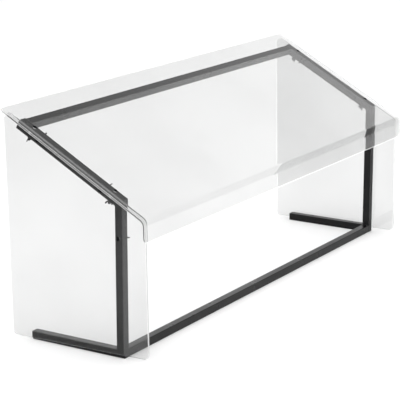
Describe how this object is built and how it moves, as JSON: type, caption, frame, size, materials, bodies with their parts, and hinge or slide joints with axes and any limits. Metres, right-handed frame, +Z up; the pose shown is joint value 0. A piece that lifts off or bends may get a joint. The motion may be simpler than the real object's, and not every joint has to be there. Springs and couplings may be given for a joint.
{
  "type": "sneeze guard",
  "caption": "Free-standing buffet sneeze guard: black square-tube frame carrying a bent clear top panel with a front lip and a clear panel at each end, held with screws and wing nuts.",
  "frame": {"origin": "on the table, midway between the two ends and midway between the lip's front and the top panel's rear edge", "axes": "+X along the table to the guests' right as they face the guard, +Y from the guests' side to the servers' side, +Z up"},
  "size_m": [1.219, 0.372, 0.5133],
  "materials": {
    "powder_coated_steel": "black powder coat, satin, fine texture",
    "clear_acrylic": "clear acrylic sheet, gloss faces and polished edges",
    "cap_plastic": "black moulded plastic, matt",
    "black_screws": "black-coated steel, satin",
    "black_washers": "black-coated steel, satin",
    "black_wing_nuts": "black-coated metal, satin"
  },
  "bodies": {
    "frame": {"left_foot": "powder_coated_steel", "left_upright": "powder_coated_steel", "left_arm": "powder_coated_steel", "right_foot": "powder_coated_steel", "right_upright": "powder_coated_steel", "right_arm": "powder_coated_steel", "lower_crossbar": "powder_coated_steel", "upper_crossbar": "powder_coated_steel", "left_foot_cap": "cap_plastic", "right_foot_cap": "cap_plastic", "left_arm_cap": "cap_plastic", "right_arm_cap": "cap_plastic", "top_panel": "clear_acrylic", "left_end_panel": "clear_acrylic", "right_end_panel": "clear_acrylic", "top_panel_screws": "black_screws", "left_end_screws": "black_screws", "right_end_screws": "black_screws", "top_panel_washers": "black_washers", "left_end_washers": "black_washers", "right_end_washers": "black_washers"},
    "top_nut_left_front": {"top_nut_left_front": "black_wing_nuts"},
    "top_nut_left_rear": {"top_nut_left_rear": "black_wing_nuts"},
    "top_nut_right_front": {"top_nut_right_front": "black_wing_nuts"},
    "top_nut_right_rear": {"top_nut_right_rear": "black_wing_nuts"},
    "end_nut_left_post": {"end_nut_left_post": "black_wing_nuts"},
    "end_nut_left_front": {"end_nut_left_front": "black_wing_nuts"},
    "end_nut_left_rear": {"end_nut_left_rear": "black_wing_nuts"},
    "end_nut_right_post": {"end_nut_right_post": "black_wing_nuts"},
    "end_nut_right_front": {"end_nut_right_front": "black_wing_nuts"},
    "end_nut_right_rear": {"end_nut_right_rear": "black_wing_nuts"}
  },
  "joints": [
    {"name": "top_nut_left_front_turn", "type": "hinge", "parent": "frame", "child": "top_nut_left_front", "pos_m": [-0.581, -0.08332, 0.34068], "axis": [0, -0.4756, 0.8796], "continuous": true},
    {"name": "top_nut_left_rear_turn", "type": "hinge", "parent": "frame", "child": "top_nut_left_rear", "pos_m": [-0.581, 0.12252, 0.45197], "axis": [0, -0.4756, 0.8796], "continuous": true},
    {"name": "top_nut_right_front_turn", "type": "hinge", "parent": "frame", "child": "top_nut_right_front", "pos_m": [0.581, -0.08332, 0.34068], "axis": [0, -0.4756, 0.8796], "continuous": true},
    {"name": "top_nut_right_rear_turn", "type": "hinge", "parent": "frame", "child": "top_nut_right_rear", "pos_m": [0.581, 0.12252, 0.45197], "axis": [0, -0.4756, 0.8796], "continuous": true},
    {"name": "end_nut_left_post_turn", "type": "hinge", "parent": "frame", "child": "end_nut_left_post", "pos_m": [-0.5705, -0.10972, 0.264], "axis": [-1, 0, 0], "continuous": true},
    {"name": "end_nut_left_front_turn", "type": "hinge", "parent": "frame", "child": "end_nut_left_front", "pos_m": [-0.5705, -0.06632, 0.3618], "axis": [-1, 0, 0], "continuous": true},
    {"name": "end_nut_left_rear_turn", "type": "hinge", "parent": "frame", "child": "end_nut_left_rear", "pos_m": [-0.5705, 0.09553, 0.44932], "axis": [-1, 0, 0], "continuous": true},
    {"name": "end_nut_right_post_turn", "type": "hinge", "parent": "frame", "child": "end_nut_right_post", "pos_m": [0.5705, -0.10972, 0.264], "axis": [1, 0, 0], "continuous": true},
    {"name": "end_nut_right_front_turn", "type": "hinge", "parent": "frame", "child": "end_nut_right_front", "pos_m": [0.5705, -0.06632, 0.3618], "axis": [1, 0, 0], "continuous": true},
    {"name": "end_nut_right_rear_turn", "type": "hinge", "parent": "frame", "child": "end_nut_right_rear", "pos_m": [0.5705, 0.09553, 0.44932], "axis": [1, 0, 0], "continuous": true}
  ]
}
